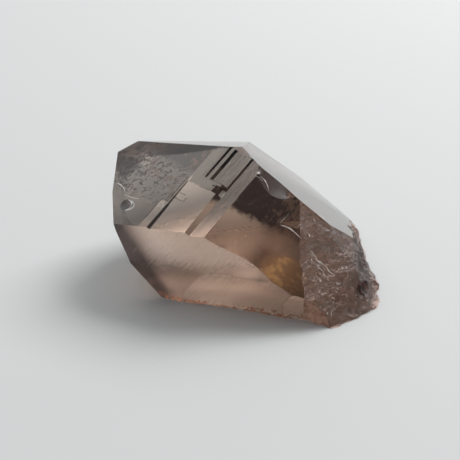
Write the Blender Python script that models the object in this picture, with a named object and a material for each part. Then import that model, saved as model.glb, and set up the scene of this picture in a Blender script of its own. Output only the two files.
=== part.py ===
"""A single smoky quartz point, broken off its matrix and lying on the break.

Metres, +Z up. The origin is the centre of the bounding box at the resting plane.
Lengths below are in millimetres, measured from the crystal's centre where they place a face.
"""
import math

import bmesh
import bpy
from mathutils import Matrix, Vector, noise

MM = 0.001
NAME = "smoky_quartz_crystal"

# Attitude of the crystal as it lies, with the c axis climbing toward the tip
LYING = (
    Matrix.Rotation(math.radians(159), 3, "Z")
    @ Matrix.Rotation(math.radians(55), 3, "Y")
    @ Matrix.Rotation(math.radians(144), 3, "Z")
)
CENTRE_HEIGHT = 14.0

# Quartz angle between a prism face and the tip face above it
TIP_LEAN = 38.2

# Prism faces, every 60 degrees round the c axis
FRONT = 15.05
UPPER = 12.15
BACK = 30.2
UNDER_BACK = 20.0
UNDER_FRONT = 26.0
LOWER = 21.4

# The face underneath tapers toward the tip
UNDER_FRONT_TAPER = 9.2

# The lower face is hollowed beside its edge with the front face: depth, reach and middle along the axis
HOLLOW_DEPTH = 2.3
HOLLOW_WIDTH = 17.0
HOLLOW_HALF_LENGTH = 15.0
HOLLOW_MIDDLE = -8.5
HOLLOW_SPAN = 45.0
HOLLOW_GRAIN = 1.5

# Tip faces
TIP_FRONT = 15.9
TIP_UPPER = 16.7
TIP_BACK = 21.4
TIP_UNDER_BACK = 30.0
TIP_END_HIGH = 29.2
TIP_END_LOW = 28.6
TIP_SHOULDER = 28.1
TIP_BEVEL = 28.4

# Growth steps on the front tip face, beside its edge with the front prism face
STEP_INSET = 2.1
STEP_DROP = 1.1
FINE_STEPS = ((5.5, 0.3), (4.9, 0.78))
FINE_WALL = -2.9
LONG_STEP_INSET = 7.4
LONG_STEP_SLOPE = 0.02
LONG_STEP_DROP = 0.12
LONG_STEP_WALL = -5.5
NOTCH_INSET = 2.9
NOTCH_DROP = 1.14
NOTCH_ENDS = (-5.6, -3.7)

# The break from the matrix: its mean direction, then bearing, rise and distance of its planes
BREAK_AXIS = (-28.0, 34.0)
BREAK_PLANES = ((-62.9, 39.4, 16.0), (-51.2, 34.5, 18.8), (-10.2, 33.5, 18.5), (4.7, 27.8, 19.5))
BREAK_SPAN = 36.0
BREAK_SPARE = 3.0
BREAK_GRAIN = 0.95
BREAK_FADE_LEFT = 0.12
HOLLOW_RELIEF, HOLLOW_SIZE = 1.0, 9.0
RIDGE_RELIEF, RIDGE_SIZE = 0.63, 4.0
GRAIN_RELIEF, GRAIN_SIZE = 0.54, 1.7
CRISP_EDGE = 11.8
CRISP_EDGE_WIDTH = 4.0
UPPER_EDGE_FADE, UPPER_EDGE_WIDTH = 0.2, 4.5
NOISE_SEED = Vector((3.1, 7.7, 1.9))

# Shell-shaped scars: a point on the crystal, the bearing and rise it opens to, radius and depth
SCARS = {
    "under_edge": ((-3.0, -21.0, -14.0), (-107.3, -9.8), 120.0, 2.6),
    "low_corner": ((9.4, -24.4, -13.0), (-93.0, -2.0), 11.0, 2.2),
    "upper_edge": ((7.0, -7.6, 12.6), (-66.0, 48.0), 14.0, 1.3),
    "tip_corner": ((2.8, -6.2, 15.5), (-80.0, 60.0), 5.0, 0.8),
    "tip_edge": ((-1.5, 0.5, 17.0), (-60.0, 70.0), 4.0, 0.6),
    "tip_shell": ((-27.9, -5.9, 6.2), (-128.0, 61.0), 3.2, 0.5),
    "break_notch": ((26.8, 7.5, -8.0), (20.0, 45.0), 4.2, 1.6),
    "break_hollow": ((29.5, -9.0, -11.0), (-20.0, 30.0), 3.2, 1.6),
    "back_chip": ((28.2, 17.0, -11.5), (25.0, 35.0), 5.0, 1.3),
    "growth_pit": ((-8.1, -8.2, 11.9), (-128.0, 61.0), 0.5, 0.42),
}

WIDE_SCAR = 40.0
WIDE_SCAR_SPAN = 50.0
WIDE_SCAR_GRAIN = 1.8

# The block every face is cut from
BLOCK = 120.0


def crystal_direction(azimuth, lean):
    """Outward direction, from the angle round the c axis and the lean toward the tip."""
    turn = math.radians(azimuth)
    rise = math.radians(lean)
    local = Vector((math.cos(rise) * math.cos(turn), math.cos(rise) * math.sin(turn), math.sin(rise)))
    return LYING @ local


def lying_direction(bearing, rise):
    """Outward direction in the lying position, from a bearing round +Z and a rise."""
    turn = math.radians(bearing)
    tilt = math.radians(rise)
    return Vector((math.cos(tilt) * math.cos(turn), math.cos(tilt) * math.sin(turn), math.sin(tilt)))


def crystal_faces():
    """Every growth face as an outward direction and a distance from the crystal's centre."""
    faces = (
        (0, 0, FRONT),
        (60, 0, UPPER),
        (120, 0, BACK),
        (180, 0, UNDER_BACK),
        (240, UNDER_FRONT_TAPER, UNDER_FRONT),
        (300, 0, LOWER),
        (0, TIP_LEAN, TIP_FRONT),
        (60, TIP_LEAN, TIP_UPPER),
        (120, TIP_LEAN, TIP_BACK),
        (180, TIP_LEAN, TIP_UNDER_BACK),
        (234, TIP_LEAN + 4, TIP_END_HIGH),
        (241, TIP_LEAN - 2, TIP_END_LOW),
        (242, 30, TIP_SHOULDER),
        (112, 63, TIP_BEVEL),
    )
    return [(crystal_direction(azimuth, lean), distance) for azimuth, lean, distance in faces]


def at_height(point):
    """A point given from the crystal's centre, in metres above the resting plane."""
    return (Vector(point) + Vector((0, 0, CENTRE_HEIGHT))) * MM


def cut_block(planes):
    """A solid block cut by each plane in turn, keeping what lies inside them."""
    mesh = bmesh.new()
    bmesh.ops.create_cube(mesh, size=BLOCK * MM)
    bmesh.ops.translate(mesh, vec=at_height((0, 0, 0)), verts=mesh.verts)
    for direction, distance in planes:
        everything = list(mesh.verts) + list(mesh.edges) + list(mesh.faces)
        cut = bmesh.ops.bisect_plane(
            mesh,
            geom=everything,
            plane_co=at_height(direction * distance),
            plane_no=direction,
            clear_outer=True,
        )
        rim = [item for item in cut["geom_cut"] if isinstance(item, bmesh.types.BMEdge)]
        if rim:
            bmesh.ops.contextual_create(mesh, geom=rim)
    bmesh.ops.recalc_face_normals(mesh, faces=mesh.faces)
    return mesh


def step_cutter(inset, tread, walls=()):
    """The growth layer missing over a step: outside the riser, above the tread and between walls."""
    front = crystal_direction(0, 0)
    planes = [(-front, inset - FRONT), (-tread[0], -tread[1])]
    return cut_block(planes + list(walls))


def growth_steps():
    """Cutters for the steps beside the edge of the front tip face."""
    tip = crystal_direction(0, TIP_LEAN)
    along = crystal_direction(90, 0)
    tilted = tip - along * LONG_STEP_SLOPE
    level = TIP_FRONT - LONG_STEP_DROP - LONG_STEP_SLOPE * LONG_STEP_WALL
    long_tread = (tilted.normalized(), level / tilted.length)
    cutters = {
        "step_low": step_cutter(STEP_INSET, (tip, TIP_FRONT - STEP_DROP)),
        "step_long": step_cutter(LONG_STEP_INSET, long_tread, [(along, LONG_STEP_WALL)]),
        "step_notch": step_cutter(
            NOTCH_INSET,
            (tip, TIP_FRONT - NOTCH_DROP),
            [(along, NOTCH_ENDS[1]), (-along, -NOTCH_ENDS[0])],
        ),
    }
    for number, (inset, drop) in enumerate(FINE_STEPS):
        tread = (tip, TIP_FRONT - drop)
        cutters[f"step_fine_{number}"] = step_cutter(inset, tread, [(-along, -FINE_WALL)])
    return cutters


def relief_cutter(axis, across, half_span, grain, reach):
    """A slab facing the crystal with a relief on its inner side.

    reach gives the relief's distance along the axis at an offset across it.
    """
    upward = axis.cross(across)
    mesh = bmesh.new()
    segments = round(2 * half_span / grain)
    bmesh.ops.create_grid(mesh, x_segments=segments, y_segments=segments, size=half_span)
    for vertex in mesh.verts:
        offset = across * vertex.co.x + upward * vertex.co.y
        vertex.co = at_height(offset + axis * reach(offset))
    outer = bmesh.ops.extrude_face_region(mesh, geom=list(mesh.faces))
    moved = [item for item in outer["geom"] if isinstance(item, bmesh.types.BMVert)]
    bmesh.ops.translate(mesh, vec=axis * BLOCK * MM, verts=moved)
    bmesh.ops.recalc_face_normals(mesh, faces=mesh.faces)
    return mesh


def hollow_cutter():
    """Wears the lower face down into a smooth hollow beside its edge with the front face."""
    axis = crystal_direction(300, 0)
    from_edge = crystal_direction(210, 0)
    length_axis = crystal_direction(0, 90)
    edge = (FRONT + LOWER * math.cos(math.radians(120))) / math.sin(math.radians(120))

    def reach(offset):
        inward = offset.dot(from_edge) + edge
        across = min(1.0, max(0.0, 1.0 - inward / HOLLOW_WIDTH))
        along = min(1.0, abs(offset.dot(length_axis) - HOLLOW_MIDDLE) / HOLLOW_HALF_LENGTH)
        return LOWER - HOLLOW_DEPTH * across**2 * math.cos(along * math.pi / 2) ** 2

    return relief_cutter(axis, from_edge, HOLLOW_SPAN, HOLLOW_GRAIN, reach)


def break_depth(offset, axis):
    """How far along the break's axis its surface lies, at an offset across the axis."""

    def reach(plane):
        direction = lying_direction(plane[0], plane[1])
        return (plane[2] - direction.dot(offset)) / direction.dot(axis)

    return min(reach(plane) for plane in BREAK_PLANES)


def break_cutter():
    """The uneven break, with ridges, hollows and fine grain."""
    axis = lying_direction(*BREAK_AXIS)
    across = axis.cross(Vector((0, 0, 1))).normalized()
    upper = crystal_direction(60, 0)

    def reach(offset):
        depth = break_depth(offset, axis)
        point = offset + axis * depth
        clear = max(0.0, point.x - CRISP_EDGE) / CRISP_EDGE_WIDTH
        below = max(0.0, UPPER - point.dot(upper)) / UPPER_EDGE_WIDTH
        fade = min(1.0, BREAK_FADE_LEFT + clear) * min(1.0, UPPER_EDGE_FADE + below)
        hollows = HOLLOW_RELIEF * noise.noise(point / HOLLOW_SIZE + NOISE_SEED)
        ridges = RIDGE_RELIEF * (1.0 - 2.0 * abs(noise.noise(point / RIDGE_SIZE + NOISE_SEED)))
        grain = GRAIN_RELIEF * noise.noise(point / GRAIN_SIZE + NOISE_SEED)
        return depth + fade * (hollows + ridges + grain)

    return relief_cutter(axis, across, BREAK_SPAN, BREAK_GRAIN, reach)


def scar_cutter(point, opening, radius, depth):
    """A ball, or for a wide scar only the cap of it, sunk to a depth at a point."""
    axis = lying_direction(*opening)
    centre = Vector(point) + axis * (radius - depth)
    mesh = bmesh.new()
    if radius < WIDE_SCAR:
        bmesh.ops.create_icosphere(mesh, subdivisions=4, radius=radius * MM)
        bmesh.ops.translate(mesh, vec=at_height(centre), verts=mesh.verts)
        return mesh
    across = axis.cross(Vector((0, 0, 1))).normalized()

    def reach(offset):
        sideways = offset - centre + axis * centre.dot(axis)
        return centre.dot(axis) - math.sqrt(radius**2 - sideways.length_squared)

    mesh.free()
    return relief_cutter(axis, across, WIDE_SCAR_SPAN, WIDE_SCAR_GRAIN, reach)


def collection_named(name):
    collection = bpy.data.collections.new(name)
    bpy.context.scene.collection.children.link(collection)
    return collection


def object_from(mesh, name, collection):
    data = bpy.data.meshes.new(name)
    mesh.to_mesh(data)
    mesh.free()
    made = bpy.data.objects.new(name, data)
    collection.objects.link(made)
    return made


def smoky_quartz():
    """Clear quartz with a brown body colour."""
    material = bpy.data.materials.new("smoky_quartz")
    material.use_nodes = True
    shader = material.node_tree.nodes["Principled BSDF"]
    shader.inputs["Base Color"].default_value = (0.34, 0.25, 0.2, 1.0)
    shader.inputs["Roughness"].default_value = 0.08
    shader.inputs["Metallic"].default_value = 0.0
    shader.inputs["IOR"].default_value = 1.544
    shader.inputs["Transmission Weight"].default_value = 0.9
    return material


def settle(crystal, others):
    """Moves everything so that the crystal's bounding box is centred over the origin."""
    bpy.context.view_layer.update()
    shaped = crystal.evaluated_get(bpy.context.evaluated_depsgraph_get())
    points = [vertex.co for vertex in shaped.data.vertices]
    low = [min(point[axis] for point in points) for axis in range(3)]
    high = [max(point[axis] for point in points) for axis in range(3)]
    shift = Vector((-(low[0] + high[0]) / 2, -(low[1] + high[1]) / 2, -low[2]))
    for item in [crystal] + others:
        item.data.transform(Matrix.Translation(shift))


def build():
    for item in list(bpy.data.objects):
        bpy.data.objects.remove(item, do_unlink=True)
    body_collection = collection_named(NAME)
    cutter_collection = collection_named("cutters")
    cutter_collection.hide_render = True

    resting = [(Vector((0, 0, -1)), CENTRE_HEIGHT)]
    spare = [(lying_direction(*plane[:2]), plane[2] + BREAK_SPARE) for plane in BREAK_PLANES]
    crystal = object_from(cut_block(crystal_faces() + spare + resting), NAME, body_collection)
    crystal.data.materials.append(smoky_quartz())

    # The growth steps share planes with each other
    steps = growth_steps()
    meshes = dict(steps)
    meshes["hollow"] = hollow_cutter()
    meshes["break"] = break_cutter()
    for name, scar in SCARS.items():
        meshes[name] = scar_cutter(*scar)
    cutters = []
    for name, mesh in meshes.items():
        cutter = object_from(mesh, f"cutter_{name}", cutter_collection)
        cutter.hide_render = True
        cutter.display_type = "WIRE"
        cut = crystal.modifiers.new(name, "BOOLEAN")
        cut.operation = "DIFFERENCE"
        cut.solver = "MANIFOLD" if name in steps else "EXACT"
        cut.object = cutter
        cutters.append(cutter)
    settle(crystal, cutters)


build()
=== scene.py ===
"""A smoky quartz point lying on its side, on a plain pale floor.

Metres, +Z up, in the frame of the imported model.
"""
import math
import random

import bmesh
import bpy
from mathutils import Matrix, Vector, noise
from mathutils.bvhtree import BVHTree


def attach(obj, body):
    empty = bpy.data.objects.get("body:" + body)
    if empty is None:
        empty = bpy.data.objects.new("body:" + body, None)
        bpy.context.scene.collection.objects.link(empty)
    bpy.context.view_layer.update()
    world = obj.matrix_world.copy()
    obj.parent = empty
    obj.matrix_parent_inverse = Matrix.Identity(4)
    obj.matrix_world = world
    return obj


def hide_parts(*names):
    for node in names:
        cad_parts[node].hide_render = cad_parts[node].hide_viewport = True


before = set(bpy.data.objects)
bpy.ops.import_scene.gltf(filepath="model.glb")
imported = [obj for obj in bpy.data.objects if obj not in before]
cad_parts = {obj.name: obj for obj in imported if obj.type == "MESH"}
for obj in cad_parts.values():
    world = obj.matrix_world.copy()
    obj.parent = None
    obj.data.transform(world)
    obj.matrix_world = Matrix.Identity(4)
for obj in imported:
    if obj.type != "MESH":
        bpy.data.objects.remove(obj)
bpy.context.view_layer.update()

# The crystal's body
# One quartz point that grew in an alpine cleft: flat prism and tip faces round its c axis, with growth
# steps beside one edge. It was broken off its matrix, which left a hackly break and small shell-shaped
# chips. The CAD solid gives the form, and this piece adds the fine relief of its worn places.
MM = 0.001
CRYSTAL = "smoky_quartz_crystal"
LYING = (
    Matrix.Rotation(math.radians(159), 3, "Z")
    @ Matrix.Rotation(math.radians(55), 3, "Y")
    @ Matrix.Rotation(math.radians(144), 3, "Z")
)
CENTRE = Vector((0.382, -0.701, 14.0)) * MM
TIP_LEAN = 38.2
UPPER_FACES = ((60, 0), (60, TIP_LEAN), (112, 63))
HIDDEN_FACES = (
    (240, 9.2),
    (242, 30),
    (234, TIP_LEAN + 4),
    (241, TIP_LEAN - 2),
    (120, 0),
    (120, TIP_LEAN),
    (180, 0),
    (180, TIP_LEAN),
)
REST_DEPTH = 14.0
RELIEF_SEED = 5

# Without a seed, the noise vectors would start from the clock
noise.seed_set(RELIEF_SEED)


def crystal_direction(azimuth, lean):
    """Outward direction, from the angle round the c axis and the lean toward the tip."""
    turn, rise = math.radians(azimuth), math.radians(lean)
    across = math.cos(rise)
    return LYING @ Vector((across * math.cos(turn), across * math.sin(turn), math.sin(rise)))


FRONT_FACE = crystal_direction(0, 0)
LOWER_FACE = crystal_direction(300, 0)
TIP_FACE = crystal_direction(0, TIP_LEAN)
BACK_FACE = crystal_direction(180, 0)


def growth_directions():
    """The directions of the crystal's flat faces by kind, with those hidden behind and below."""
    return {
        "tip": [TIP_FACE],
        "front": [FRONT_FACE],
        "lower": [LOWER_FACE],
        "under": [Vector((0, 0, -1))],
        "upper": [crystal_direction(*angles) for angles in UPPER_FACES],
        "hidden": [crystal_direction(*angles) for angles in HIDDEN_FACES],
    }


UNDER_RELIEF = 0.15
UNDER_LUMP = 9.0
UNDER_WAVE = 3.5
UNDER_MARGIN = 2.5


def under_relief(point):
    """How far the old scar underneath hollows upward, at a point in millimetres."""
    warp = noise.noise_vector(point / 6.0) * 1.5
    lumps = shell_relief(point + warp, UNDER_LUMP, 0.20) / UNDER_LUMP
    waves = noise.noise(point / UNDER_WAVE) * 0.25
    return UNDER_RELIEF * max(0.0, min(1.0, 0.25 + lumps + waves))


BACK_FACE_DISTANCE = 20.0
WEAR_REACH = 3.0
WEAR_DEPTH = 0.4


def back_wear(place):
    """The wear of the long edge behind the underside, as a move in millimetres."""
    from_rest = place.z + REST_DEPTH
    from_back = BACK_FACE_DISTANCE - place.dot(BACK_FACE)
    near = max(0.0, 1.0 - max(from_rest, from_back) / WEAR_REACH)
    return (Vector((0, 0, 1)) - BACK_FACE) * WEAR_DEPTH * near**2


FACET_CENTRE = (-37.4, -131.45, -33.98)
FACET_RADIUS = 120.0
FACET_WITHIN = 0.35
FACET_TURN = math.radians(5)


def on_facet(face):
    """Whether a face lies on the wide worn facet that runs under the lower face."""
    middle = face.calc_center_median() - CENTRE
    toward = Vector(FACET_CENTRE) * MM - middle
    away = abs(toward.length / MM - FACET_RADIUS)
    return away < FACET_WITHIN and face.normal.angle(toward) < FACET_TURN


def shell_relief(point, size, tilt):
    """Height of small shell-shaped chips: each cell is a hollow facet with its own tilt."""
    distances, centres = noise.voronoi(point / size)
    lean = noise.noise_vector(centres[0] * 7.3)
    across = (point / size - centres[0]).dot(lean)
    return size * (0.55 * distances[0] ** 2 + tilt * across)


COARSE_CHIP = 3.1
FINE_CHIP = 1.2
ROUGH_PATCH = 6.0
ROUGH_GRAIN = 0.5


def break_relief(point):
    """Height of the break's hackle over the coarse form, at a point in millimetres."""
    warp = noise.noise_vector(point / 2.3) * 0.5
    coarse = shell_relief(point + warp, COARSE_CHIP, 0.30)
    fine = shell_relief(point * 1.07 + warp, FINE_CHIP, 0.34)
    patchy = max(0.0, min(1.0, 0.5 + 1.6 * noise.noise(point / ROUGH_PATCH)))
    grain = noise.noise(point / ROUGH_GRAIN) * 0.035
    return 0.40 * coarse + (0.3 + 0.7 * patchy) * (0.75 * fine + grain)


POCKET = (26.4, -15.4, -10.2)
POCKET_RADIUS = 1.5
POCKET_DEPTH = 1.1


def pocket_depth(place):
    """Depth of the small dark pocket low in the break, at millimetres from the crystal's centre."""
    return POCKET_DEPTH * math.exp(-(((place - Vector(POCKET)).length / POCKET_RADIUS) ** 2))


NEAR_FRONT = 0.97
NEAR_LOWER = 0.55


def on_near_side(face):
    """Whether a face looks the way of the front face or the lower one."""
    return face.normal.dot(FRONT_FACE) > NEAR_FRONT or face.normal.dot(LOWER_FACE) > NEAR_LOWER


FLAT_WITHIN = math.radians(1.2)
BREAK_FROM_X = 9.5 * MM
BREAK_BORDER_X = 12.3 * MM
BREAK_LOWER = 0.75
SMALLEST_FLAT = 3.0 * MM**2


def face_kind(face, flats):
    """Which of the crystal's surfaces a face belongs to."""
    from_left = face.calc_center_median().x
    if from_left > BREAK_BORDER_X and on_near_side(face):
        return "break"
    at_break = from_left > BREAK_FROM_X and face.normal.dot(LOWER_FACE) < BREAK_LOWER
    if not at_break or face.calc_area() > SMALLEST_FLAT:
        for kind, directions in flats.items():
            if any(face.normal.angle(direction) < FLAT_WITHIN for direction in directions):
                return kind
    if on_facet(face):
        return "facet"
    return "break" if at_break else "worn"


KINDS = ("tip", "front", "lower", "under", "upper", "hidden", "facet", "worn", "break")
MERGE_WITHIN = 0.001 * MM
SAME_PLANE_WITHIN = math.radians(0.4)
DIVIDING_ROUNDS = 6
LONG_EDGE = 1.5
WORN_SMOOTHING = 8
BREAK_SMOOTHING = 6
BREAK_GRAIN = 0.32 * MM
HOLLOW_GRAIN = 0.9 * MM
UNDER_GRAIN = 1.3 * MM
HIDDEN_GRAIN = 2.2 * MM
BREAK_RELIEF = 1.3
BREAK_SINK = 0.6
LOWEST_BREAK_Z = 0.02 * MM
SMOOTH_BELOW = 0.35


def faces_of(shape, kinds):
    """The faces that belong to any of some kinds."""
    return [face for face in shape.faces if any(face[kind] for kind in kinds)]


def within(kinds, faces):
    """Whether faces all belong to some kinds."""
    return all(any(face[kind] for kind in kinds) for face in faces)


def refined_body(cad_mesh):
    """The CAD solid merged, with its worn faces divided finely and given their relief."""
    shape = bmesh.new()
    shape.from_mesh(cad_mesh)
    bmesh.ops.remove_doubles(shape, verts=shape.verts, dist=MERGE_WITHIN)
    bmesh.ops.dissolve_limit(
        shape, angle_limit=SAME_PLANE_WITHIN, verts=shape.verts, edges=shape.edges
    )
    near = [face for face in shape.faces if on_near_side(face)]
    near_edges = [edge for edge in shape.edges if any(face in near for face in edge.link_faces)]
    near_points = [
        vertex for vertex in shape.verts if any(edge in near_edges for edge in vertex.link_edges)
    ]
    bmesh.ops.bisect_plane(
        shape,
        geom=near + near_edges + near_points,
        plane_co=(BREAK_BORDER_X, 0, 0),
        plane_no=(1, 0, 0),
    )
    kinds = {name: shape.faces.layers.float.new(name) for name in KINDS}
    flats = growth_directions()
    for face in shape.faces:
        face[kinds[face_kind(face, flats)]] = 1.0
    rim = shape.verts.layers.float.new("facet_rim")
    for vertex in shape.verts:
        on_side = [bool(face[kinds["facet"]]) for face in vertex.link_faces]
        vertex[rim] = 1.0 if any(on_side) and not all(on_side) else 0.0
    worn, broken = kinds["worn"], kinds["break"]
    under, hidden = kinds["under"], kinds["hidden"]
    below = (under, hidden)
    rough = (worn, broken, under, hidden)
    grains = ((hidden, HIDDEN_GRAIN), (under, UNDER_GRAIN), (worn, HOLLOW_GRAIN), (broken, BREAK_GRAIN))
    for kind, grain in grains:
        for _ in range(DIVIDING_ROUNDS):
            bmesh.ops.triangulate(shape, faces=faces_of(shape, rough))
            long_edges = [
                edge
                for edge in shape.edges
                if edge.calc_length() > LONG_EDGE * grain and any(face[kind] for face in edge.link_faces)
            ]
            if not long_edges:
                break
            bmesh.ops.subdivide_edges(shape, edges=long_edges, cuts=1, use_grid_fill=True)
    bmesh.ops.triangulate(shape, faces=faces_of(shape, rough))
    for kind, rounds in ((worn, WORN_SMOOTHING), (broken, BREAK_SMOOTHING)):
        inside = [vertex for vertex in shape.verts if within((kind,), vertex.link_faces)]
        for _ in range(rounds):
            bmesh.ops.smooth_vert(
                shape, verts=inside, factor=0.5, use_axis_x=True, use_axis_y=True, use_axis_z=True
            )
    shape.normal_update()
    for vertex in shape.verts:
        if not within((broken,), vertex.link_faces):
            continue
        height = BREAK_RELIEF * break_relief(vertex.co / MM) - BREAK_SINK
        height -= pocket_depth((vertex.co - CENTRE) / MM)
        vertex.co += vertex.normal * height * MM
        vertex.co.z = max(vertex.co.z, LOWEST_BREAK_Z)
    outline = [
        vertex.co.copy()
        for vertex in shape.verts
        if any(face[under] for face in vertex.link_faces) and not within(below, vertex.link_faces)
    ]
    for vertex in shape.verts:
        if not within(below, vertex.link_faces):
            continue
        place = (vertex.co - CENTRE) / MM
        move = back_wear(place)
        if any(face[under] for face in vertex.link_faces):
            clear = min((vertex.co - other).length for other in outline) / MM
            move.z += under_relief(place) * min(1.0, clear / UNDER_MARGIN)
        vertex.co += move * MM
    for face in shape.faces:
        face.smooth = within(rough, (face,))
    shape.normal_update()
    for edge in shape.edges:
        alike = any(within(group, edge.link_faces) for group in ((worn,), (broken,), below))
        edge.smooth = alike and edge.calc_face_angle(0) < SMOOTH_BELOW
    return shape


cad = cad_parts[CRYSTAL]
crystal_shape = refined_body(cad.data)
crystal_mesh = bpy.data.meshes.new("crystal_body")
crystal_shape.to_mesh(crystal_mesh)
crystal_shape.free()
crystal = bpy.data.objects.new("crystal_body", crystal_mesh)
bpy.context.scene.collection.objects.link(crystal)


def put(tree, socket, source):
    """Links a socket, or sets a plain number or colour on it."""
    if isinstance(source, bpy.types.NodeSocket):
        tree.links.new(source, socket)
    else:
        socket.default_value = source


def math_node(tree, operation, first, second=0.0):
    """One arithmetic step between two values."""
    node = tree.nodes.new("ShaderNodeMath")
    node.operation = operation
    put(tree, node.inputs[0], first)
    put(tree, node.inputs[1], second)
    return node.outputs[0]


def ramp(tree, value, low, high):
    """0 below low, 1 above high, soft between; falling where low is the larger."""
    node = tree.nodes.new("ShaderNodeMapRange")
    node.interpolation_type = "SMOOTHSTEP"
    falling = low > high
    put(tree, node.inputs["Value"], value)
    node.inputs["From Min"].default_value = min(low, high)
    node.inputs["From Max"].default_value = max(low, high)
    node.inputs["To Min"].default_value = 1.0 if falling else 0.0
    node.inputs["To Max"].default_value = 0.0 if falling else 1.0
    return node.outputs[0]


def product(tree, *masks):
    """Masks multiplied together."""
    result = masks[0]
    for mask in masks[1:]:
        result = math_node(tree, "MULTIPLY", result, mask)
    return result


def tinted(tree, mask, colour, under):
    """A colour laid over another one where the mask is 1."""
    node = tree.nodes.new("ShaderNodeMix")
    node.data_type = "RGBA"
    put(tree, node.inputs["Factor"], mask)
    put(tree, node.inputs["A"], under)
    put(tree, node.inputs["B"], (*colour, 1.0))
    return node.outputs["Result"]


def pattern(tree, point, size, detail=2.0, roughness=0.5):
    """Noise over a point in millimetres, with lumps of a size."""
    node = tree.nodes.new("ShaderNodeTexNoise")
    node.inputs["Scale"].default_value = 1.0 / size
    node.inputs["Detail"].default_value = detail
    node.inputs["Roughness"].default_value = roughness
    put(tree, node.inputs["Vector"], point)
    return node.outputs["Fac"]


def crystal_coordinates():
    """Node group: millimetres from the crystal's centre, u and v across it, w along its c axis."""
    group = bpy.data.node_groups.new("crystal_coordinates", "ShaderNodeTree")
    group.interface.new_socket("Point", in_out="OUTPUT", socket_type="NodeSocketVector")
    for name in "UVW":
        group.interface.new_socket(name, in_out="OUTPUT", socket_type="NodeSocketFloat")
    place = group.nodes.new("ShaderNodeTexCoord")
    turn = group.nodes.new("ShaderNodeMapping")
    turn.vector_type = "TEXTURE"
    turn.inputs["Location"].default_value = CENTRE
    turn.inputs["Rotation"].default_value = LYING.to_euler("XYZ")
    turn.inputs["Scale"].default_value = (MM, MM, MM)
    parts = group.nodes.new("ShaderNodeSeparateXYZ")
    out = group.nodes.new("NodeGroupOutput")
    group.links.new(place.outputs["Object"], turn.inputs["Vector"])
    group.links.new(turn.outputs["Vector"], parts.inputs["Vector"])
    group.links.new(turn.outputs["Vector"], out.inputs["Point"])
    for axis, name in zip("XYZ", "UVW"):
        group.links.new(parts.outputs[axis], out.inputs[name])
    return group


def stretched(tree, point, scale):
    """A point scaled along each axis, for grain that runs one way."""
    node = tree.nodes.new("ShaderNodeVectorMath")
    node.operation = "MULTIPLY"
    put(tree, node.inputs[0], point)
    put(tree, node.inputs[1], scale)
    return node.outputs[0]


def shifted(tree, value, amount):
    """A value plus a number or another value."""
    return math_node(tree, "ADD", value, amount)


def scaled(tree, value, amount):
    """A value times a number or another value."""
    return math_node(tree, "MULTIPLY", value, amount)


def band(tree, value, low, high, soft):
    """1 between two limits, with soft borders."""
    rising = ramp(tree, value, low - soft, low)
    return product(tree, rising, ramp(tree, value, high + soft, high))


def shifted_point(tree, point, offset):
    """A point moved along, so that a second pattern differs from the first."""
    node = tree.nodes.new("ShaderNodeVectorMath")
    node.operation = "ADD"
    put(tree, node.inputs[0], point)
    put(tree, node.inputs[1], offset)
    return node.outputs[0]


def shifted_noise(tree, point, size):
    """Streaky noise that differs from the plain pattern of the same size."""
    moved = shifted_point(tree, point, (3.0, 8.0, 5.0))
    return pattern(tree, stretched(tree, moved, (1.0, 1.0, 0.45)), size, 4.0, 0.65)


def distance_from(tree, value, middle):
    """How far a value is from its middle, either way."""
    return math_node(tree, "ABSOLUTE", shifted(tree, value, -middle))


def thin_line(tree, value, middle, half_width):
    """1 along a line where a value meets its middle."""
    return ramp(tree, distance_from(tree, value, middle), half_width, half_width * 0.4)


def plate_outline(tree, across, along, middle, half_size, half_width):
    """The outline of a small rectangular growth plate."""
    out_across = shifted(tree, distance_from(tree, across, middle[0]), -half_size[0])
    out_along = shifted(tree, distance_from(tree, along, middle[1]), -half_size[1])
    return thin_line(tree, math_node(tree, "MAXIMUM", out_across, out_along), 0.0, half_width)


def greatest(tree, *masks):
    """The largest of several masks."""
    result = masks[0]
    for mask in masks[1:]:
        result = math_node(tree, "MAXIMUM", result, mask)
    return result


def layered(tree, start, *layers):
    """A number plus several masks, each times its own amount."""
    result = start
    for mask, amount in layers:
        result = shifted(tree, result, scaled(tree, mask, amount))
    return result


def lying_coordinate(tree, point, axis):
    """Millimetres along an axis of the lying crystal, from its centre."""
    node = tree.nodes.new("ShaderNodeVectorMath")
    node.operation = "DOT_PRODUCT"
    put(tree, node.inputs[0], point)
    put(tree, node.inputs[1], LYING.transposed() @ Vector(axis))
    return node.outputs["Value"]


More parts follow.
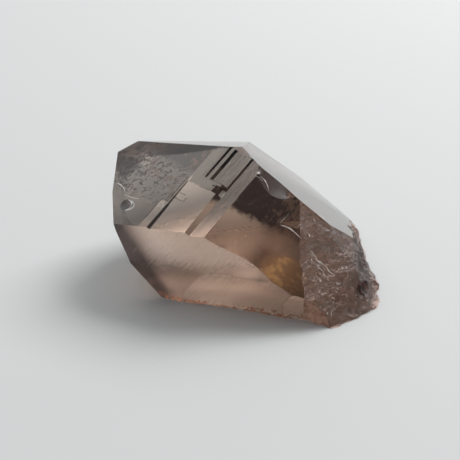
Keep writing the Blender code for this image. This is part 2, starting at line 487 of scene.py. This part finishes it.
def quartz_material():
    """Clear smoky quartz: see-through, brown by absorption over the length of the light's path."""
    material = bpy.data.materials.new("smoky_quartz")
    material.use_nodes = True
    tree = material.node_tree
    nodes, links = tree.nodes, tree.links
    shader = nodes["Principled BSDF"]
    shader.inputs["Transmission Weight"].default_value = 1.0
    shader.inputs["IOR"].default_value = 1.544
    body = nodes.new("ShaderNodeVolumeAbsorption")
    body.inputs["Color"].default_value = (0.73, 0.63, 0.55, 1.0)
    body.inputs["Density"].default_value = 70.0
    links.new(body.outputs[0], nodes["Material Output"].inputs["Volume"])

    place = nodes.new("ShaderNodeGroup")
    place.node_tree = crystal_coordinates()
    point, u, v, w = (place.outputs[name] for name in ("Point", "U", "V", "W"))
    on = {}
    for name in KINDS:
        attribute = nodes.new("ShaderNodeAttribute")
        attribute.attribute_name = name
        on[name] = attribute.outputs["Fac"]

    # Borders are in millimetres along u, v and w. Each tint covers those before it
    wander = shifted(tree, scaled(tree, pattern(tree, point, 3.0, 4.0, 0.6), 3.0), -1.5)
    speckle = pattern(tree, point, 1.1, 4.0, 0.65)
    mottle = pattern(tree, point, 2.6, 3.0, 0.6)
    height = shifted(tree, lying_coordinate(tree, point, (0.0, 0.0, 1.0)), REST_DEPTH)
    height_wavy = shifted(tree, height, wander)

    # Painted shade on the tip faces: zones darker than the clear window between the growth steps,
    # standing for the dark seen through the crystal there
    v_wavy = shifted(tree, v, scaled(tree, wander, 0.5))
    strip = product(tree, ramp(tree, u, 6.2, 6.4), ramp(tree, v, -12.3, -12.8))
    not_strip = math_node(tree, "SUBTRACT", 1.0, strip)
    left_painted_shade = product(tree, on["tip"], ramp(tree, u, 7.7, 7.5), not_strip)
    left_slope = shifted(tree, v_wavy, scaled(tree, u, 0.55))
    left_dark = product(tree, left_painted_shade, ramp(tree, left_slope, -8.0, -13.0))
    upper_painted_shade = product(tree, on["tip"], band(tree, u, 7.7, 12.9, 0.2), ramp(tree, v_wavy, -4.8, -3.8))
    green_band = product(
        tree, on["tip"], band(tree, u, 8.0, 12.6, 0.2), band(tree, v_wavy, -5.4, -3.4, 0.4)
    )
    colour = tinted(tree, left_painted_shade, (0.17, 0.17, 0.172), (1.0, 1.0, 1.0, 1.0))
    left_top = product(tree, left_painted_shade, ramp(tree, v_wavy, -8.0, -5.0), ramp(tree, u, 1.5, -3.0))
    colour = tinted(tree, left_top, (0.95, 0.95, 0.96), colour)
    top_middle = product(tree, left_painted_shade, ramp(tree, v_wavy, -4.5, -2.0), ramp(tree, u, 0.0, 3.0))
    colour = tinted(tree, top_middle, (0.055, 0.058, 0.06), colour)
    colour = tinted(tree, left_dark, (0.19, 0.18, 0.175), colour)
    left_marks = product(tree, left_painted_shade, ramp(tree, mottle, 0.50, 0.62), ramp(tree, v, -15.0, -10.0))
    colour = tinted(tree, left_marks, (0.14, 0.095, 0.085), colour)
    colour = tinted(tree, green_band, (0.26, 0.29, 0.275), colour)
    colour = tinted(tree, upper_painted_shade, (0.26, 0.28, 0.28), colour)

    # Dark hairlines on the tip faces: etched outlines, the long step, small plates, lines on the treads
    etch_here = product(
        tree,
        on["tip"],
        ramp(tree, u, 8.0, 6.0),
        ramp(tree, v, -16.0, -13.5),
        ramp(tree, v, -1.0, -5.0),
        ramp(tree, u, -4.5, -2.5),
    )
    etch_noise = pattern(tree, stretched(tree, point, (1.0, 0.8, 1.0)), 1.5, 3.0, 0.62)
    gap_noise = pattern(tree, shifted_point(tree, point, (9.0, 4.0, 2.0)), 1.3, 2.0, 0.5)
    etch_gaps = ramp(tree, gap_noise, 0.44, 0.50)
    etch_line = product(tree, etch_here, thin_line(tree, etch_noise, 0.5, 0.040), etch_gaps)
    at_step = greatest(tree, on["tip"], product(tree, on["front"], ramp(tree, u, 8.6, 8.4)))
    # Painted shade in the crease along the foot of the long step
    step_shade_line = product(tree, at_step, thin_line(tree, u, 7.66, 0.12), ramp(tree, v, -12.6, -13.2))
    step_hair = product(tree, on["tip"], thin_line(tree, u, 7.3, 0.07), band(tree, v, -13.5, -5.0, 0.3))
    strip_hair = product(
        tree, on["tip"], thin_line(tree, u, 6.3, 0.07), band(tree, v, -18.5, -12.5, 0.3)
    )
    plate_u = shifted(tree, u, scaled(tree, wander, 0.12))
    plate_v = shifted(tree, v, scaled(tree, wander, 0.2))
    plates = greatest(
        tree,
        plate_outline(tree, plate_u, v, (8.2, -9.9), (1.15, 0.85), 0.08),
        plate_outline(tree, u, plate_v, (7.4, -11.5), (0.45, 1.0), 0.07),
    )
    plates = product(tree, on["tip"], plates, ramp(tree, speckle, 0.42, 0.5))
    tread_noise = pattern(tree, stretched(tree, point, (1.0, 0.02, 0.0)), 0.34, 2.0, 0.6)
    tread_lines = product(tree, on["tip"], thin_line(tree, tread_noise, 0.5, 0.035))
    tread_lines = product(tree, tread_lines, ramp(tree, u, 8.9, 9.2), ramp(tree, v, -3.9, -3.2))
    low_tread_line = product(
        tree, on["tip"], thin_line(tree, u, 13.75, 0.06), band(tree, v, -14.0, -1.0, 2.0)
    )
    hairlines = greatest(
        tree,
        etch_line,
        step_hair,
        strip_hair,
        plates,
        scaled(tree, tread_lines, 0.45),
        scaled(tree, low_tread_line, 0.6),
    )
    colour = tinted(tree, hairlines, (0.006, 0.004, 0.004), colour)
    colour = tinted(tree, step_shade_line, (0.002, 0.001, 0.001), colour)

    # The step's riser is browner, with painted shade past the notch, and the fine steps' walls are
    # clear; the low tread is darkened with painted shade
    riser = product(tree, on["front"], ramp(tree, u, 14.4, 14.2))
    colour = tinted(tree, riser, (0.50, 0.37, 0.30), colour)
    colour = tinted(tree, product(tree, riser, ramp(tree, u, 8.6, 8.4)), (0.004, 0.003, 0.003), colour)
    fine_walls = product(tree, on["front"], band(tree, u, 9.2, 10.6, 0.2), ramp(tree, v, -4.0, -3.5))
    colour = tinted(tree, fine_walls, (0.97, 0.97, 0.98), colour)
    low_tread = product(tree, on["tip"], ramp(tree, u, 12.8, 13.0))
    colour = tinted(tree, scaled(tree, low_tread, 0.9), (0.16, 0.16, 0.17), colour)

    # The front face: brown, with painted shade toward its base end, deep inside and along its upper
    # edge, painted light in its amber lower corner, and an old scar
    b_flat = product(tree, on["front"], ramp(tree, u, 14.6, 14.8))
    colour = tinted(tree, b_flat, (0.75, 0.58, 0.49), colour)
    colour = tinted(tree, product(tree, b_flat, ramp(tree, w, 2.0, -8.0)), (0.15, 0.095, 0.070), colour)
    deep = product(tree, b_flat, ramp(tree, v_wavy, -6.0, -10.0), ramp(tree, w, -3.0, -8.0))
    colour = tinted(tree, deep, (0.045, 0.024, 0.015), colour)
    amber_v = scaled(tree, shifted(tree, v, 11.5), 0.16)
    amber_w = scaled(tree, shifted(tree, w, 14.5), 0.15)
    far = shifted(tree, product(tree, amber_v, amber_v), product(tree, amber_w, amber_w))
    far = shifted(tree, far, scaled(tree, wander, 0.3))
    # The amber corner is painted light: the colour of light coming through the crystal there
    amber = product(tree, b_flat, ramp(tree, far, 1.0, 0.2))
    colour = tinted(tree, amber, (0.34, 0.17, 0.065), colour)
    golden_streaks = ramp(tree, shifted_noise(tree, point, 1.9), 0.50, 0.60)
    golden = product(tree, amber, golden_streaks, ramp(tree, far, 0.9, 0.3))
    colour = tinted(tree, golden, (0.85, 0.46, 0.13), colour)
    amber_noise = pattern(tree, stretched(tree, point, (1.0, 1.0, 0.5)), 0.9, 4.0, 0.7)
    amber_marks = product(tree, amber, ramp(tree, amber_noise, 0.53, 0.62))
    colour = tinted(tree, scaled(tree, amber_marks, 0.8), (0.25, 0.10, 0.03), colour)
    low_corner = ramp(tree, shifted(tree, v, scaled(tree, w, -0.1)), -11.5, -15.5)
    low_specks = product(tree, b_flat, low_corner, ramp(tree, speckle, 0.50, 0.62))
    colour = tinted(tree, scaled(tree, low_specks, 0.8), (0.08, 0.04, 0.03), colour)
    b_edge = shifted(tree, shifted(tree, v, scaled(tree, w, 0.24)), wander)
    dusky_painted_shade = product(tree, on["front"], ramp(tree, b_edge, -10.0, -6.0), ramp(tree, w, -2.0, -7.0))
    colour = tinted(tree, scaled(tree, dusky_painted_shade, 0.75), (0.075, 0.044, 0.032), colour)
    speckled_edge = shifted(tree, b_edge, scaled(tree, speckle, 2.0))
    # Painted shade along the upper edge, darkest in streaks
    upper_edge_painted_shade = product(tree, on["front"], ramp(tree, speckled_edge, -5.6, -3.6))
    colour = tinted(tree, scaled(tree, upper_edge_painted_shade, 0.96), (0.036, 0.018, 0.012), colour)
    streaks = pattern(tree, stretched(tree, point, (1.0, 0.45, 1.0)), 1.0, 4.0, 0.7)
    streaks = shifted(tree, streaks, scaled(tree, ramp(tree, w, -9.0, 1.0), 0.2))
    darkest_painted_shade = product(tree, upper_edge_painted_shade, ramp(tree, streaks, 0.50, 0.60))
    colour = tinted(tree, darkest_painted_shade, (0.006, 0.003, 0.003), colour)
    scar_side = ramp(tree, shifted(tree, v, w), -7.6, -8.0)
    scar_top = ramp(tree, shifted(tree, v, scaled(tree, w, 0.361)), -4.0, -3.8)
    old_scar = product(tree, on["front"], scar_side, ramp(tree, w, -10.0, -9.7), scar_top)
    colour = tinted(tree, old_scar, (0.15, 0.095, 0.068), colour)
    glints = product(tree, on["front"], ramp(tree, pattern(tree, point, 0.35, 1.0, 0.5), 0.72, 0.78))

    # Painted shade in the worn hollow, the corner chip, the break darker and browner, more so toward its
    # top and its right end, and painted shade in its pocket, with a rusty rim
    worn_scar_and_shade = product(tree, on["worn"], ramp(tree, v, -6.0, -3.0), ramp(tree, u, 9.0, 11.0))
    colour = tinted(tree, worn_scar_and_shade, (0.025, 0.018, 0.019), colour)
    corner_chip = product(tree, on["worn"], ramp(tree, w, 9.0, 10.5), ramp(tree, v, 4.0, 5.5))
    colour = tinted(tree, corner_chip, (0.34, 0.19, 0.155), colour)
    colour = tinted(tree, on["break"], (0.68, 0.45, 0.37), colour)
    crevices = product(tree, on["break"], ramp(tree, speckle, 0.52, 0.42))
    colour = tinted(tree, scaled(tree, crevices, 0.8), (0.18, 0.095, 0.075), colour)
    break_top = product(tree, on["break"], ramp(tree, height_wavy, 10.0, 14.0))
    colour = tinted(tree, scaled(tree, break_top, 0.85), (0.085, 0.05, 0.042), colour)
    rightward = shifted(tree, lying_coordinate(tree, point, (1.0, 0.0, 0.0)), wander)
    far_side = product(
        tree, on["break"], ramp(tree, rightward, 22.0, 26.0), ramp(tree, height, 2.0, 5.0)
    )
    colour = tinted(tree, scaled(tree, far_side, 0.9), (0.045, 0.017, 0.011), colour)
    from_pocket = nodes.new("ShaderNodeVectorMath")
    from_pocket.operation = "DISTANCE"
    put(tree, from_pocket.inputs[0], point)
    put(tree, from_pocket.inputs[1], LYING.transposed() @ Vector(POCKET))
    pocket_edge = shifted(tree, from_pocket.outputs["Value"], scaled(tree, wander, 0.6))
    rusty_rim = product(tree, on["break"], ramp(tree, pocket_edge, 3.4, 2.2))
    colour = tinted(tree, scaled(tree, rusty_rim, 0.6), (0.16, 0.05, 0.03), colour)
    pocket_shade = product(tree, on["break"], ramp(tree, pocket_edge, 2.1, 1.1))
    colour = tinted(tree, pocket_shade, (0.004, 0.0015, 0.001), colour)

    # The lower face darkens toward its outline at the left, where light is trapped. Its low part gets
    # painted shade, and the wide facet a painted dark line along its rim. It has crosswise striations,
    # and rusty specks where it meets the floor
    across = shifted(tree, scaled(tree, u, 0.866), scaled(tree, v, 0.5))
    inward = math_node(tree, "SUBTRACT", shifted(tree, across, 18.3), scaled(tree, w, 0.405))
    low_hollow = product(tree, on["worn"], ramp(tree, v, -9.0, -12.0))
    lower = greatest(tree, on["lower"], low_hollow, on["facet"])
    from_rim = shifted(tree, inward, scaled(tree, wander, 0.4))
    low_part_shade = product(
        tree, lower, ramp(tree, height_wavy, 13.0, 8.0), ramp(tree, w, -18.5, -16.5)
    )
    colour = tinted(tree, lower, (0.60, 0.56, 0.55), colour)
    colour = tinted(tree, low_part_shade, (0.115, 0.092, 0.08), colour)
    colour = tinted(tree, on["facet"], (0.48, 0.43, 0.41), colour)
    rim_attribute = nodes.new("ShaderNodeAttribute")
    rim_attribute.attribute_name = "facet_rim"
    facet_rim_shade = product(tree, on["facet"], ramp(tree, rim_attribute.outputs["Fac"], 0.72, 0.92))
    colour = tinted(tree, scaled(tree, facet_rim_shade, 0.8), (0.16, 0.11, 0.09), colour)
    rim_shade = product(tree, lower, ramp(tree, from_rim, 10.0, 2.5))
    colour = tinted(tree, rim_shade, (0.165, 0.13, 0.125), colour)
    rim_dark = product(tree, lower, ramp(tree, from_rim, 5.5, 1.2))
    colour = tinted(tree, rim_dark, (0.012, 0.008, 0.008), colour)
    cross_lines = pattern(tree, stretched(tree, point, (0.05, 0.05, 1.0)), 0.42, 3.0, 0.7)
    cross_here = product(tree, lower, ramp(tree, pattern(tree, point, 4.0, 2.0, 0.5), 0.46, 0.60))
    striations = product(tree, cross_here, ramp(tree, cross_lines, 0.58, 0.66))
    colour = tinted(tree, scaled(tree, striations, 0.7), (0.12, 0.08, 0.068), colour)
    rust = product(
        tree,
        lower,
        ramp(tree, shifted(tree, height, scaled(tree, wander, 1.1)), 2.2, 0.6),
        ramp(tree, speckle, 0.46, 0.54),
        ramp(tree, w, 6.0, 0.0),
    )
    colour = tinted(tree, scaled(tree, rust, 0.9), (0.20, 0.055, 0.02), colour)
    # Painted shade over the upper faces, darkening what shows through them
    colour = tinted(tree, on["upper"], (0.36, 0.33, 0.335), colour)
    put(tree, shader.inputs["Base Color"], colour)

    # Roughness: glossy growth faces, a duller break, worn chips, and the dull scar underneath
    dull_patches = product(tree, on["break"], ramp(tree, mottle, 0.45, 0.6))
    worn_strip = greatest(
        tree,
        product(tree, on["hidden"], ramp(tree, height, 8.0, 0.0)),
        product(tree, on["under"], ramp(tree, u, -9.0, -19.0)),
    )
    roughness = layered(
        tree,
        0.03,
        (on["break"], 0.08),
        (dull_patches, 0.14),
        (on["under"], 0.30),
        (on["hidden"], 0.12),
        (worn_strip, 0.35),
        (on["worn"], 0.07),
        (worn_scar_and_shade, 0.15),
        (corner_chip, 0.45),
        (rust, 0.5),
    )
    put(tree, shader.inputs["Roughness"], roughness)

    # Relief too fine for the mesh: etching on the tip, striations on the prism faces, grain on the break
    lines_here = product(tree, lower, pattern(tree, point, 5.0))
    fine_lines = pattern(tree, stretched(tree, point, (1.0, 0.04, 1.0)), 0.5, 2.0, 0.6)
    grain = product(tree, on["break"], pattern(tree, point, 0.45, 4.0, 0.7))
    relief = layered(
        tree,
        0.0,
        (product(tree, etch_here, etch_noise), 0.35),
        (product(tree, cross_lines, lines_here), 0.22),
        (product(tree, on["tip"], fine_lines), 0.03),
        (grain, 0.35),
        (hairlines, -0.12),
        (glints, 0.25),
        (pattern(tree, point, 4.0), 0.05),
    )
    bump = nodes.new("ShaderNodeBump")
    bump.inputs["Strength"].default_value = 1.0
    bump.inputs["Distance"].default_value = MM
    put(tree, bump.inputs["Height"], relief)
    put(tree, shader.inputs["Normal"], bump.outputs["Normal"])
    return material


crystal_mesh.materials.append(quartz_material())
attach(crystal, "root")
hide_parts(CRYSTAL)

# Inner cracks and painted glints
# Short healed cracks of the crystal where they reach its surface, catching the light as fine pale
# lines. They lie on the faces and follow the chips that they cross.
# Pale flecks on the break, films of the same kind, are painted glints that stand for its small sparkles.
FILM_THICKNESS = 0.03 * MM
FILM_PROUD = 0.02 * MM
FILM_STEPS = 20
FILM_SEARCH = 8.0 * MM
FRONT_SIDE = Vector((1, 0, 0))
TIP_SIDE = Vector((0.786, 0, 0.618))
BREAK_SIDE = LYING.transposed() @ Vector((0.0, -0.87, 0.50))
BENT_CRACKS = (
    (FRONT_SIDE, ((15, 3.6, 4.0), (15, 3.9, 2.9), (15, 3.6, 1.8), (15, 2.4, 0.6)), 0.20),
    (FRONT_SIDE, ((15, 2.7, 5.2), (15, 3.1, 4.6), (15, 3.3, 3.8), (15, 3.1, 3.0)), 0.10),
    (
        TIP_SIDE,
        ((-2.2, -13.8, 28.5), (-1.4, -13.6, 27.5), (-0.4, -14.0, 26.2), (0.2, -15.0, 25.5)),
        0.16,
    ),
    (TIP_SIDE, ((1.7, -16.3, 23.6), (3.2, -16.2, 21.7), (3.5, -17.9, 21.3), (2.5, -19.0, 22.6)), 0.95),
    (TIP_SIDE, ((0.3, -15.5, 25.3), (1.6, -15.6, 23.7), (2.8, -15.3, 22.2), (3.4, -14.6, 21.4)), 0.12),
)
JAGGED_CRACKS = (
    (
        FRONT_SIDE,
        ((15, -2.3, -6.3), (15, -1.7, -7.5), (15, -1.4, -8.6), (15, -1.4, -10.2), (15, -1.6, -12.1)),
        0.26,
    ),
    (FRONT_SIDE, ((15, -2.3, -6.3), (15, -1.6, -6.0), (15, 0.3, -6.3), (15, 1.4, -6.1)), 0.10),
    (FRONT_SIDE, ((15, 0.1, -9.6), (15, 1.2, -9.8), (15, 2.1, -9.7)), 0.07),
    (BREAK_SIDE, ((15, -2.4, -14.9), (15, -2.2, -15.7), (15, -2.6, -16.4), (15, -2.4, -17.0)), 0.22),
    (BREAK_SIDE, ((15, -2.4, -16.8), (15, -3.0, -17.8), (15, -2.7, -18.7), (15, -2.9, -19.3)), 0.36),
    (BREAK_SIDE, ((15, -2.9, -19.5), (15, -2.6, -20.1), (15, -3.2, -21.3), (15, -3.0, -22.6)), 0.20),
    (BREAK_SIDE, ((15, -3.3, -18.4), (15, -4.1, -19.0), (15, -4.0, -20.2), (15, -4.9, -21.0)), 0.10),
)
FLECKS = 44
FLECK_ACROSS = (-11.0, 6.0)
FLECK_ALONG = (-33.0, -11.0)
FLECK_LENGTH = (0.35, 1.2)
FLECK_WIDTH = (0.06, 0.16)
FLECK_SEED = 7
# Straight sides of the area with flecks, where first * across + second * along stays below a limit
FLECK_SIDES = ((-0.88, 1.0, -12.8), (1.0, -0.463, 11.6), (-0.432, -1.0, 32.4))
PALE = (0.92, 0.90, 0.87)
DUSTY = (0.74, 0.70, 0.65)
body_tree = BVHTree.FromPolygons(
    [vertex.co for vertex in crystal_mesh.vertices],
    [face.vertices for face in crystal_mesh.polygons],
)


def along_curve(corners, share):
    """A point on a smooth curve between four corners, at a share of its length."""
    start, first, second, end = corners
    rest = 1 - share
    return start * rest**3 + first * 3 * rest**2 * share + second * 3 * rest * share**2 + end * share**3


def break_painted_glints():
    """Short pale flecks over the break, in patches: painted glints for its small sparkles, drawn as
    jagged strips.
    """
    chance = random.Random(FLECK_SEED)
    found = []
    while len(found) < FLECKS:
        across, along = chance.uniform(*FLECK_ACROSS), chance.uniform(*FLECK_ALONG)
        turn = chance.gauss(-1.9, 0.7)
        length, width = chance.uniform(*FLECK_LENGTH), chance.uniform(*FLECK_WIDTH)
        kink = chance.uniform(-0.3, 0.3)
        near = all(first * across + second * along < limit for first, second, limit in FLECK_SIDES)
        if not near or noise.noise((across / 3, along / 3, 2.0)) < -0.05:
            continue
        start = Vector((15, across, along))
        reach = Vector((0, math.cos(turn), math.sin(turn))) * length
        aside = Vector((0, -reach.z, reach.y)) * kink
        found.append((BREAK_SIDE, (start, start + reach / 2 + aside, start + reach), width))
    return found


def laid_on_body(place, toward):
    """Where a line of sight along a direction meets the crystal's surface."""
    found = body_tree.ray_cast(place + toward * FILM_SEARCH, -toward)
    return place if found[0] is None else found[0] + toward * FILM_PROUD


def along_jags(corners, share):
    """A point on a line with corners, at a share of its number of pieces."""
    at = min(share * (len(corners) - 1), len(corners) - 1.001)
    piece = int(at)
    return corners[piece].lerp(corners[piece + 1], at - piece)


def thicken(film, toward):
    """Gives a film its thickness, away from a direction."""
    lower_side = bmesh.ops.extrude_face_region(film, geom=list(film.faces))
    moved = [item for item in lower_side["geom"] if isinstance(item, bmesh.types.BMVert)]
    bmesh.ops.translate(film, vec=toward * -FILM_THICKNESS, verts=moved)
    bmesh.ops.recalc_face_normals(film, faces=film.faces)


def crack_and_glint_film(facing, follow, points, width):
    """A thin strip along a line given across and along the c axis, tapering to both ends."""
    corners = [Vector(point) for point in points]
    toward = LYING @ facing
    strip = bmesh.new()
    bmesh.ops.create_grid(strip, x_segments=FILM_STEPS, y_segments=1, size=1.0)
    for vertex in strip.verts:
        share = (vertex.co.x + 1) / 2
        here = follow(corners, share)
        ahead = follow(corners, min(1.0, share + 0.01)) - follow(corners, max(0.0, share - 0.01))
        aside = facing.cross(ahead).normalized()
        taper = math.sin(math.pi * (0.04 + 0.92 * share))
        reach = width * taper * (0.8 + 0.5 * noise.noise(here * 1.7))
        flat_place = CENTRE + LYING @ (here + aside * reach * vertex.co.y / 2) * MM
        vertex.co = laid_on_body(flat_place, toward)
    thicken(strip, toward)
    mesh = bpy.data.meshes.new("crack_and_glint_film")
    strip.to_mesh(mesh)
    strip.free()
    return mesh


crack_and_glint_shape = bmesh.new()
for follow, lines in ((along_curve, BENT_CRACKS), (along_jags, (*JAGGED_CRACKS, *break_painted_glints()))):
    for facing, points, width in lines:
        film = crack_and_glint_film(facing, follow, points, width)
        crack_and_glint_shape.from_mesh(film)
        bpy.data.meshes.remove(film)
crack_and_glint_mesh = bpy.data.meshes.new("inner_cracks_and_painted_glints")
crack_and_glint_shape.to_mesh(crack_and_glint_mesh)
crack_and_glint_shape.free()
crack_and_glint_films = bpy.data.objects.new("inner_cracks_and_painted_glints", crack_and_glint_mesh)
bpy.context.scene.collection.objects.link(crack_and_glint_films)


def mottled_film():
    """Node group: two colours in fine patches, for the thin films on the crystal."""
    group = bpy.data.node_groups.new("mottled_film", "ShaderNodeTree")
    for name in ("Light", "Dark"):
        group.interface.new_socket(name, in_out="INPUT", socket_type="NodeSocketColor")
    group.interface.new_socket("Scale", in_out="INPUT", socket_type="NodeSocketFloat")
    group.interface.new_socket("Color", in_out="OUTPUT", socket_type="NodeSocketColor")
    given = group.nodes.new("NodeGroupInput")
    place = group.nodes.new("ShaderNodeTexCoord")
    patches = group.nodes.new("ShaderNodeTexNoise")
    group.links.new(place.outputs["Object"], patches.inputs["Vector"])
    group.links.new(given.outputs["Scale"], patches.inputs["Scale"])
    mix = group.nodes.new("ShaderNodeMix")
    mix.data_type = "RGBA"
    put(group, mix.inputs["Factor"], ramp(group, patches.outputs["Fac"], 0.4, 0.6))
    put(group, mix.inputs["A"], given.outputs["Light"])
    put(group, mix.inputs["B"], given.outputs["Dark"])
    out = group.nodes.new("NodeGroupOutput")
    group.links.new(mix.outputs["Result"], out.inputs["Color"])
    return group


film_mottle = mottled_film()
PATCHES_PER_METRE = 1400.0


def film_finish(name, light, dark, roughness):
    """The finish of a thin film, mottled in two colours."""
    finish = bpy.data.materials.new(name)
    finish.use_nodes = True
    tree = finish.node_tree
    mottle = tree.nodes.new("ShaderNodeGroup")
    mottle.node_tree = film_mottle
    mottle.inputs["Light"].default_value = (*light, 1.0)
    mottle.inputs["Dark"].default_value = (*dark, 1.0)
    mottle.inputs["Scale"].default_value = PATCHES_PER_METRE
    shader = tree.nodes["Principled BSDF"]
    put(tree, shader.inputs["Base Color"], mottle.outputs["Color"])
    shader.inputs["Roughness"].default_value = roughness
    return finish


crack_and_glint_mesh.materials.append(film_finish("crack_and_glint_film", PALE, DUSTY, 0.35))
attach(crack_and_glint_films, "root")

# Lining of the dark pocket
# A small pocket low in the break has a thin film with a ragged outline, which lies on the pocket's
# floor:
# red patches of iron oxide mixed with nearly black painted shade of the hole.
LINING_MIDDLE = Vector((15, -0.9, -29.9))
LINING_RADIUS = 1.75
LINING_CELLS = 14
RUSTY = (0.085, 0.026, 0.015)
POCKET_SHADE_BLACK = (0.010, 0.005, 0.004)
lining_shape = bmesh.new()
bmesh.ops.create_grid(lining_shape, x_segments=LINING_CELLS, y_segments=LINING_CELLS, size=1.0)
for vertex in lining_shape.verts:
    turn = math.atan2(vertex.co.y, vertex.co.x)
    ragged = 1 + 0.45 * noise.noise((1.6 * math.cos(turn), 1.6 * math.sin(turn), 4.0))
    reach = max(abs(vertex.co.x), abs(vertex.co.y)) * LINING_RADIUS * ragged
    here = LINING_MIDDLE + Vector((0, math.cos(turn), math.sin(turn))) * reach
    vertex.co = laid_on_body(CENTRE + LYING @ here * MM, LYING @ BREAK_SIDE)
thicken(lining_shape, LYING @ BREAK_SIDE)
lining_mesh = bpy.data.meshes.new("pocket_lining")
lining_shape.to_mesh(lining_mesh)
lining_shape.free()
lining = bpy.data.objects.new("pocket_lining", lining_mesh)
bpy.context.scene.collection.objects.link(lining)
lining_mesh.materials.append(film_finish("rust_and_pocket_shade_film", RUSTY, POCKET_SHADE_BLACK, 0.75))
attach(lining, "root")

# Floor
# A plain pale sheet, a hair under the crystal.
FLOOR_REACH = 3.0
FLOOR_GAP = 0.05 * MM
floor_shape = bmesh.new()
bmesh.ops.create_grid(floor_shape, x_segments=1, y_segments=1, size=FLOOR_REACH)
bmesh.ops.translate(floor_shape, vec=(0, 0, -FLOOR_GAP), verts=floor_shape.verts)
floor_mesh = bpy.data.meshes.new("floor")
floor_shape.to_mesh(floor_mesh)
floor_shape.free()
floor = bpy.data.objects.new("floor", floor_mesh)
bpy.context.scene.collection.objects.link(floor)
floor_finish = bpy.data.materials.new("pale_floor")
floor_finish.use_nodes = True
floor_shader = floor_finish.node_tree.nodes["Principled BSDF"]
floor_shader.inputs["Base Color"].default_value = (0.525, 0.53, 0.53, 1)
floor_shader.inputs["Roughness"].default_value = 0.8
floor_mesh.materials.append(floor_finish)

# Light
# A soft dome like a pale room: dim on the viewer's side, brighter behind and above, with a broad glow
# at the upper left, and a soft window light from the right rear.
def dome_world():
    """The room's light by direction."""
    world = bpy.data.worlds.new("dome")
    world.use_nodes = True
    tree = world.node_tree
    facing = tree.nodes.new("ShaderNodeTexCoord").outputs["Generated"]

    def glow(azimuth, elevation, edge, strength, colour):
        """A round glow centred on a direction, fading to nothing at its edge in degrees."""
        turn, rise = math.radians(azimuth), math.radians(elevation)
        toward = (math.sin(turn) * math.cos(rise), math.cos(turn) * math.cos(rise), math.sin(rise))
        node = tree.nodes.new("ShaderNodeVectorMath")
        node.operation = "DOT_PRODUCT"
        put(tree, node.inputs[0], facing)
        put(tree, node.inputs[1], toward)
        nearness = ramp(tree, node.outputs["Value"], math.cos(math.radians(edge)), 1.0)
        return tinted(tree, scaled(tree, nearness, strength), colour, (0.0, 0.0, 0.0, 1.0))

    total = (0.20, 0.205, 0.21, 1.0)
    for glow_colour in (
        glow(15, 0, 60, 1.1, (1.0, 1.0, 1.0)),
        glow(-55, 57, 30, 3.2, (0.95, 0.99, 1.0)),
        glow(20, 60, 40, 0.8, (1.0, 1.0, 1.0)),
    ):
        add = tree.nodes.new("ShaderNodeMix")
        add.data_type = "RGBA"
        add.blend_type = "ADD"
        add.inputs["Factor"].default_value = 1.0
        put(tree, add.inputs["A"], total)
        put(tree, add.inputs["B"], glow_colour)
        total = add.outputs["Result"]
    put(tree, tree.nodes["Background"].inputs["Color"], total)
    return world


bpy.context.scene.world = dome_world()
WINDOW_PLACE = Vector((0.616, 0.684, 0.93))
WINDOW_AIM = Vector((0, 0, 0.02))
lamp = bpy.data.lights.new("window_light", "AREA")
lamp.energy = 17.8
lamp.size = 0.75
window = bpy.data.objects.new("window_light", lamp)
bpy.context.scene.collection.objects.link(window)
window.location = WINDOW_PLACE
window.rotation_euler = (WINDOW_AIM - WINDOW_PLACE).to_track_quat("-Z", "Y").to_euler()

# Camera
# Looks down at 28 degrees from the front, as the photograph does.
lens = bpy.data.cameras.new("camera")
lens.lens = 85
lens.sensor_width = 36
camera = bpy.data.objects.new("camera", lens)
bpy.context.scene.collection.objects.link(camera)
camera.location = Vector((-3.918, -227.701, 131.2)) * MM
camera.rotation_euler = (math.radians(62), 0, 0)
bpy.context.scene.camera = camera
bpy.context.scene.view_settings.view_transform = "Standard"
bpy.context.scene.cycles.max_bounces = 24
bpy.context.scene.cycles.transmission_bounces = 24
bpy.context.scene.cycles.glossy_bounces = 12
bpy.context.scene.cycles.sample_clamp_indirect = 6
